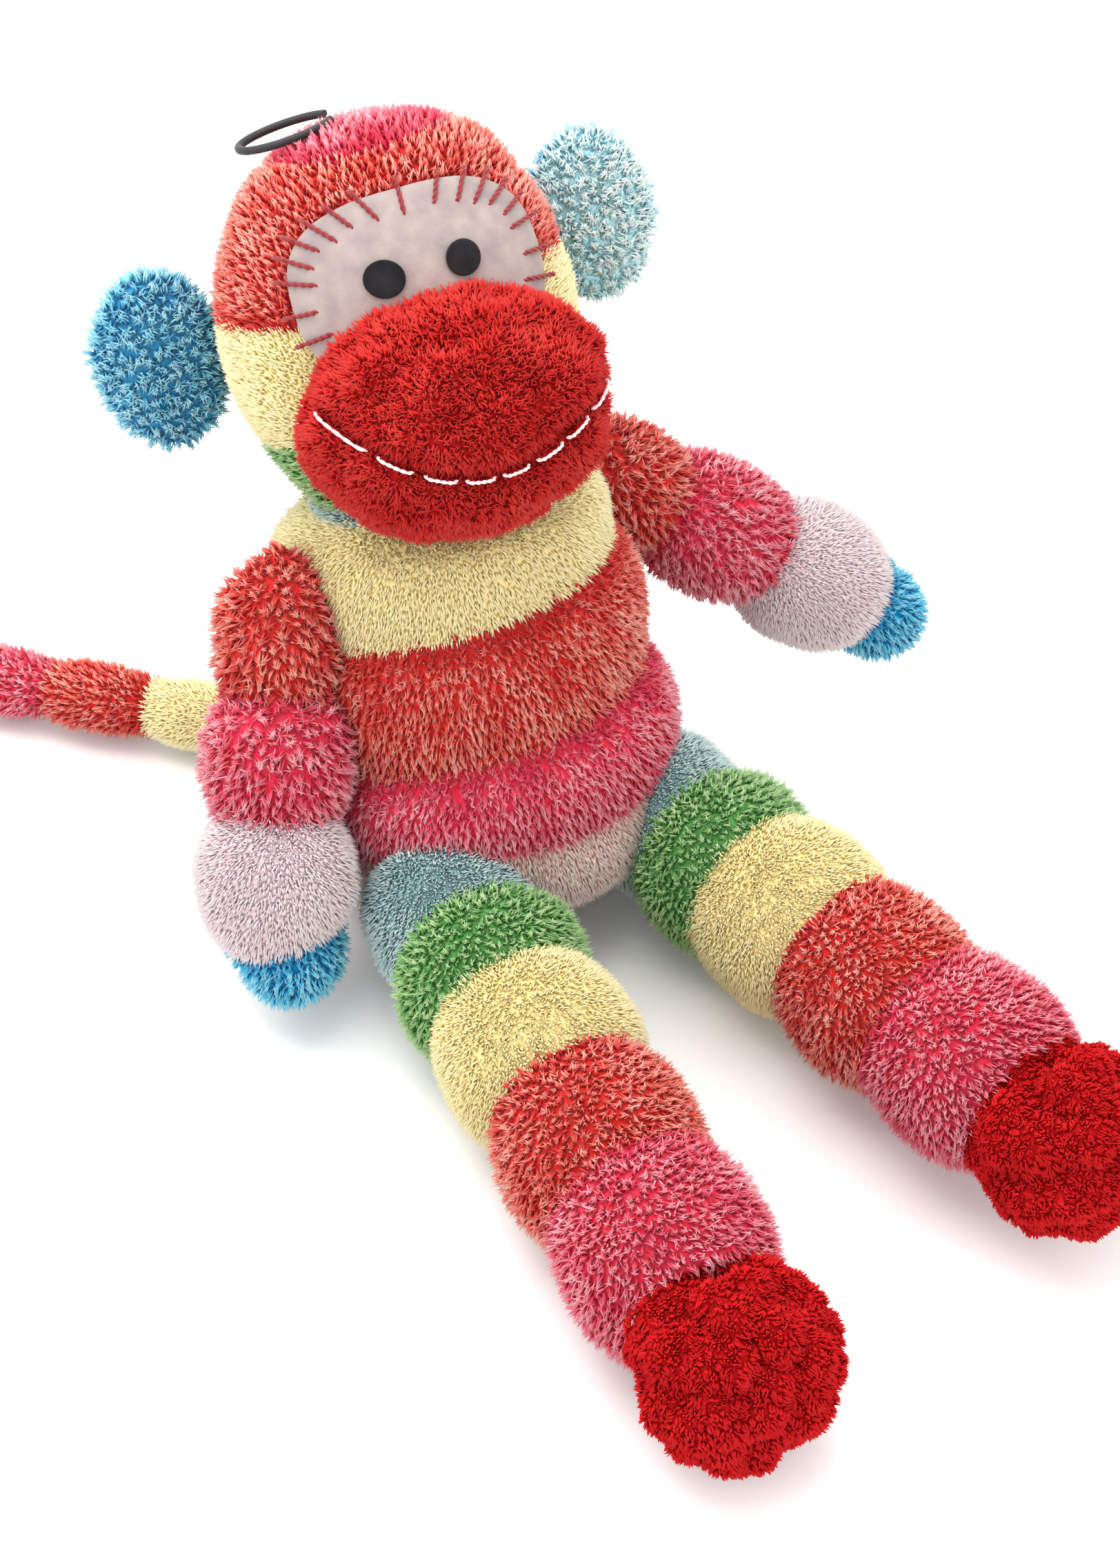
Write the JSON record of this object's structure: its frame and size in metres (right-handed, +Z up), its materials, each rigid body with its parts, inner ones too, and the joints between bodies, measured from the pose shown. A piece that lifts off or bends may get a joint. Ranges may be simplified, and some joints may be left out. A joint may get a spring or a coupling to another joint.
{
  "type": "stuffed monkey",
  "caption": "Seated long-limbed stuffed monkey in banded fleece with a felt face, a padded muzzle, round ears, a tail and a hang loop; the limbs, head, ears and tail move.",
  "frame": {"origin": "middle of the flat patch under the seat, on the surface the toy sits on", "axes": "+Z up, the toy faces -Y, +X towards the toy's own left"},
  "size_m": [0.2662, 0.3737, 0.1964],
  "materials": {
    "pink_fleece": "tipped coral fleece pile",
    "coral_fleece": "tipped fleece pile",
    "yellow_fleece": "soft fleece pile",
    "green_fleece": "tipped fleece pile",
    "blue_fleece": "tipped fleece pile",
    "lilac_fleece": "soft fleece pile",
    "bright_blue_fleece": "soft fleece pile",
    "ear_blue_fleece": "tufted tipped fleece pile",
    "muzzle_red_wool": "matted wool pile",
    "foot_red_curl": "tight curled pile",
    "face_felt": "pressed felt",
    "eye_felt": "pressed felt",
    "red_thread": "twisted thread",
    "white_thread": "twisted thread",
    "black_elastic": "round braided elastic",
    "fibre_fill": "loose white fibre"
  },
  "bodies": {
    "torso": {"seat_lilac_panel": "lilac_fleece", "hip_pink_band": "pink_fleece", "belly_coral_band": "coral_fleece", "chest_yellow_band": "yellow_fleece", "torso_stuffing": "fibre_fill"},
    "neck": {"neck_blue_band": "blue_fleece"},
    "head": {"head_pink_crown": "pink_fleece", "head_coral_band": "coral_fleece", "head_yellow_band": "yellow_fleece", "head_green_band": "green_fleece", "head_stuffing": "fibre_fill", "face_felt_patch": "face_felt", "right_felt_eye": "eye_felt", "left_felt_eye": "eye_felt", "face_blanket_stitch": "red_thread", "muzzle_red_cover": "muzzle_red_wool", "muzzle_stuffing": "fibre_fill", "smile_thread": "white_thread"},
    "right_ear": {"right_ear_front_panel": "ear_blue_fleece", "right_ear_back_panel": "ear_blue_fleece"},
    "left_ear": {"left_ear_front_panel": "ear_blue_fleece", "left_ear_back_panel": "ear_blue_fleece"},
    "hang_loop": {"hang_loop": "black_elastic"},
    "tail_root": {"tail_green_band": "green_fleece", "tail_yellow_band": "yellow_fleece", "tail_coral_band": "coral_fleece", "tail_root_stuffing": "fibre_fill"},
    "tail_end": {"tail_pink_band": "pink_fleece", "tail_lilac_band": "lilac_fleece", "tail_blue_tip": "bright_blue_fleece", "tail_end_stuffing": "fibre_fill"},
    "right_shoulder": {"right_shoulder_coral_band": "coral_fleece"},
    "right_forearm": {"right_forearm_pink_band": "pink_fleece"},
    "right_hand": {"right_hand_lilac_band": "lilac_fleece", "right_hand_blue_tip": "bright_blue_fleece", "right_hand_stuffing": "fibre_fill"},
    "right_hip": {"right_thigh_blue_band": "blue_fleece"},
    "right_thigh": {"right_thigh_green_band": "green_fleece", "right_knee_yellow_band": "yellow_fleece", "right_thigh_stuffing": "fibre_fill"},
    "right_shin": {"right_shin_coral_band": "coral_fleece", "right_ankle_pink_band": "pink_fleece", "right_foot_red_cover": "foot_red_curl", "right_shin_stuffing": "fibre_fill"},
    "left_shoulder": {"left_shoulder_coral_band": "coral_fleece"},
    "left_forearm": {"left_forearm_pink_band": "pink_fleece"},
    "left_hand": {"left_hand_lilac_band": "lilac_fleece", "left_hand_blue_tip": "bright_blue_fleece", "left_hand_stuffing": "fibre_fill"},
    "left_hip": {"left_thigh_blue_band": "blue_fleece"},
    "left_thigh": {"left_thigh_green_band": "green_fleece", "left_knee_yellow_band": "yellow_fleece", "left_thigh_stuffing": "fibre_fill"},
    "left_shin": {"left_shin_coral_band": "coral_fleece", "left_ankle_pink_band": "pink_fleece", "left_foot_red_cover": "foot_red_curl", "left_shin_stuffing": "fibre_fill"}
  },
  "joints": [
    {"name": "neck_turn", "type": "hinge", "parent": "torso", "child": "neck", "pos_m": [0.003, 0.01995, 0.10463], "axis": [0, 0.3567, 0.9342], "range_deg": [-22, 22]},
    {"name": "neck_nod", "type": "hinge", "parent": "neck", "child": "head", "pos_m": [0.003, 0.01995, 0.10463], "axis": [0.9686, -0.2213, 0.113], "range_deg": [-12, 0]},
    {"name": "right_ear_fold", "type": "hinge", "parent": "head", "child": "right_ear", "pos_m": [-0.03454, 0.06342, 0.13542], "axis": [0.0181, -0.3909, -0.9203], "range_deg": [-8, 25]},
    {"name": "left_ear_fold", "type": "hinge", "parent": "head", "child": "left_ear", "pos_m": [0.04769, 0.04696, 0.15054], "axis": [-0.0181, 0.3909, 0.9203], "range_deg": [-8, 25]},
    {"name": "hang_loop_flop", "type": "hinge", "parent": "head", "child": "hang_loop", "pos_m": [-0.00187, 0.0679, 0.19066], "axis": [-0.2424, -0.9416, 0.2339], "range_deg": [-50, 3]},
    {"name": "right_shoulder_lift", "type": "hinge", "parent": "torso", "child": "right_shoulder", "pos_m": [-0.046, 0.015, 0.098], "axis": [0, 1, 0], "range_deg": [0, 42]},
    {"name": "right_arm_swing", "type": "hinge", "parent": "right_shoulder", "child": "right_forearm", "pos_m": [-0.05532, 0.00129, 0.07606], "axis": [-0.6026, 0.7663, -0.2228], "range_deg": [0, 42]},
    {"name": "right_elbow_bend", "type": "hinge", "parent": "right_forearm", "child": "right_hand", "pos_m": [-0.06634, -0.01492, 0.05013], "axis": [-0.6026, 0.7663, -0.2228], "range_deg": [0, 46]},
    {"name": "left_shoulder_lift", "type": "hinge", "parent": "torso", "child": "left_shoulder", "pos_m": [0.047, 0.017, 0.097], "axis": [0, -1, 0], "range_deg": [-22, 34]},
    {"name": "left_arm_swing", "type": "hinge", "parent": "left_shoulder", "child": "left_forearm", "pos_m": [0.06771, 0.00773, 0.08146], "axis": [-0.6, 0, -0.8], "range_deg": [-30, 42]},
    {"name": "left_elbow_bend", "type": "hinge", "parent": "left_forearm", "child": "left_hand", "pos_m": [0.09219, -0.00322, 0.06311], "axis": [-0.6, 0, -0.8], "range_deg": [-5, 46]},
    {"name": "right_hip_swing", "type": "hinge", "parent": "torso", "child": "right_hip", "pos_m": [-0.032, -0.032, 0.026], "axis": [1, 0, 0], "range_deg": [-5, 38]},
    {"name": "right_leg_splay", "type": "hinge", "parent": "right_hip", "child": "right_thigh", "pos_m": [-0.03472, -0.05585, 0.026], "axis": [0, 0, -1], "range_deg": [-5, 14]},
    {"name": "right_knee_bend", "type": "hinge", "parent": "right_thigh", "child": "right_shin", "pos_m": [-0.04077, -0.109, 0.026], "axis": [1, 0, 0], "range_deg": [-12, 38]},
    {"name": "left_hip_swing", "type": "hinge", "parent": "torso", "child": "left_hip", "pos_m": [0.032, -0.032, 0.026], "axis": [1, 0, 0], "range_deg": [-5, 38]},
    {"name": "left_leg_splay", "type": "hinge", "parent": "left_hip", "child": "left_thigh", "pos_m": [0.03367, -0.05594, 0.026], "axis": [0, 0, 1], "range_deg": [-5, 14]},
    {"name": "left_knee_bend", "type": "hinge", "parent": "left_thigh", "child": "left_shin", "pos_m": [0.03741, -0.10931, 0.026], "axis": [1, 0, 0], "range_deg": [-12, 38]},
    {"name": "tail_root_swing", "type": "hinge", "parent": "torso", "child": "tail_root", "pos_m": [-0.011, 0.034, 0.0115], "axis": [0, 0, 1], "range_deg": [-26, 26]},
    {"name": "tail_curl", "type": "hinge", "parent": "tail_root", "child": "tail_end", "pos_m": [-0.07507, 0.10278, 0.0115], "axis": [0, 0, 1], "range_deg": [-40, 40]}
  ]
}
